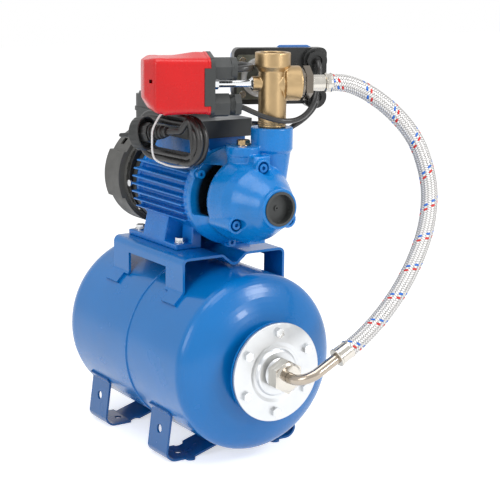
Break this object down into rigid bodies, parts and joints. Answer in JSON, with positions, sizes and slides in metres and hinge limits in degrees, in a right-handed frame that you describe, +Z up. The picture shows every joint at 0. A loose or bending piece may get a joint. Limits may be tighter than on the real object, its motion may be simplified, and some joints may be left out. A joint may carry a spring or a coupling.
{
  "type": "booster pump set",
  "caption": "Motor pump on a horizontal membrane tank, with two pressure switches, a brass manifold and a braided hose to the tank.",
  "frame": {"origin": "on the floor, in the centre of the four floor holes of the tank's feet", "axes": "+X along the shaft and the tank to the suction port and the tank's flange, +Z up, -Y to the side with the mains plug"},
  "size_m": [0.4328, 0.3225, 0.4779],
  "materials": {
    "tank_blue": "gloss paint",
    "strap_blue": "gloss paint",
    "motor_blue": "gloss paint",
    "lantern_blue": "gloss paint on cast iron",
    "motor_alloy": "gloss paint on die-cast aluminium",
    "zinc": "bright zinc plate",
    "steel": "ground steel",
    "core_steel": "stacked electrical steel",
    "copper": "enamelled copper wire",
    "nickel": "nickel plate",
    "brass": "machined and sand-cast brass",
    "black_plastic": "moulded, matt",
    "cover_plastic": "moulded, fine grain",
    "red_plastic": "moulded, gloss",
    "blue_plastic": "moulded, gloss",
    "white_plastic": "moulded, soft gloss",
    "black_rubber": "matt",
    "braid": "stainless braid with coloured tracer threads",
    "cable": "matt sheath",
    "can": "can"
  },
  "bodies": {
    "set": {"tank_rear_shell": "tank_blue", "tank_front_shell": "tank_blue", "tank_membrane": "black_rubber", "tank_flange": "zinc", "flange_bolts": "zinc", "flange_nuts": "zinc", "air_valve": "brass", "air_valve_cap": "black_plastic", "front_foot": "strap_blue", "rear_foot": "strap_blue", "pump_bracket": "tank_blue", "foot_bolts": "zinc", "foot_nuts": "zinc", "motor_housing": "motor_alloy", "rear_shield": "black_plastic", "stator_core": "core_steel", "stator_winding": "copper", "front_bearing": "steel", "rear_bearing": "steel", "fan_cover": "cover_plastic", "fan_cover_screws": "zinc", "terminal_box": "black_plastic", "terminal_lid": "black_plastic", "terminal_gland": "black_plastic", "run_capacitor": "can", "lantern_bracket": "lantern_blue", "lantern_screws": "motor_blue", "shaft_seal": "black_rubber", "pump_casing": "lantern_blue", "casing_screws": "motor_blue", "priming_plug": "brass", "five_way_fitting": "brass", "red_switch_base": "black_plastic", "red_switch_cover": "red_plastic", "red_switch_stem": "zinc", "red_switch_glands": "black_plastic", "rear_switch_base": "black_plastic", "rear_switch_cover": "blue_plastic", "rear_switch_plate": "zinc", "rear_switch_screws": "zinc", "rear_switch_nipple": "zinc", "rear_switch_glands": "black_plastic", "hose_top_nipple": "nickel", "hose_ferrules": "nickel", "hose": "braid", "hose_elbow": "nickel", "hose_gasket": "black_rubber", "jumper_cable": "cable", "motor_cable": "cable", "mains_lead": "cable", "mains_coil": "cable", "plug_lead": "cable", "mains_plug": "black_plastic", "coil_tie": "white_plastic"},
    "rotor": {"motor_shaft": "steel", "rotor_core": "core_steel", "cooling_fan": "black_plastic", "impeller": "brass"},
    "union_nut": {"hose_nut": "nickel"},
    "inlet_cap": {"inlet_cap": "black_plastic"}
  },
  "joints": [
    {"name": "rotor_spin", "type": "hinge", "parent": "set", "child": "rotor", "pos_m": [0, 0, 0.308], "axis": [1, 0, 0], "continuous": true},
    {"name": "union_nut_turn", "type": "hinge", "parent": "set", "child": "union_nut", "pos_m": [0.2, 0, 0.12], "axis": [1, 0, 0], "continuous": true},
    {"name": "inlet_cap_pull", "type": "slide", "parent": "set", "child": "inlet_cap", "axis": [1, 0, 0], "range_m": [0, 0.03]}
  ]
}
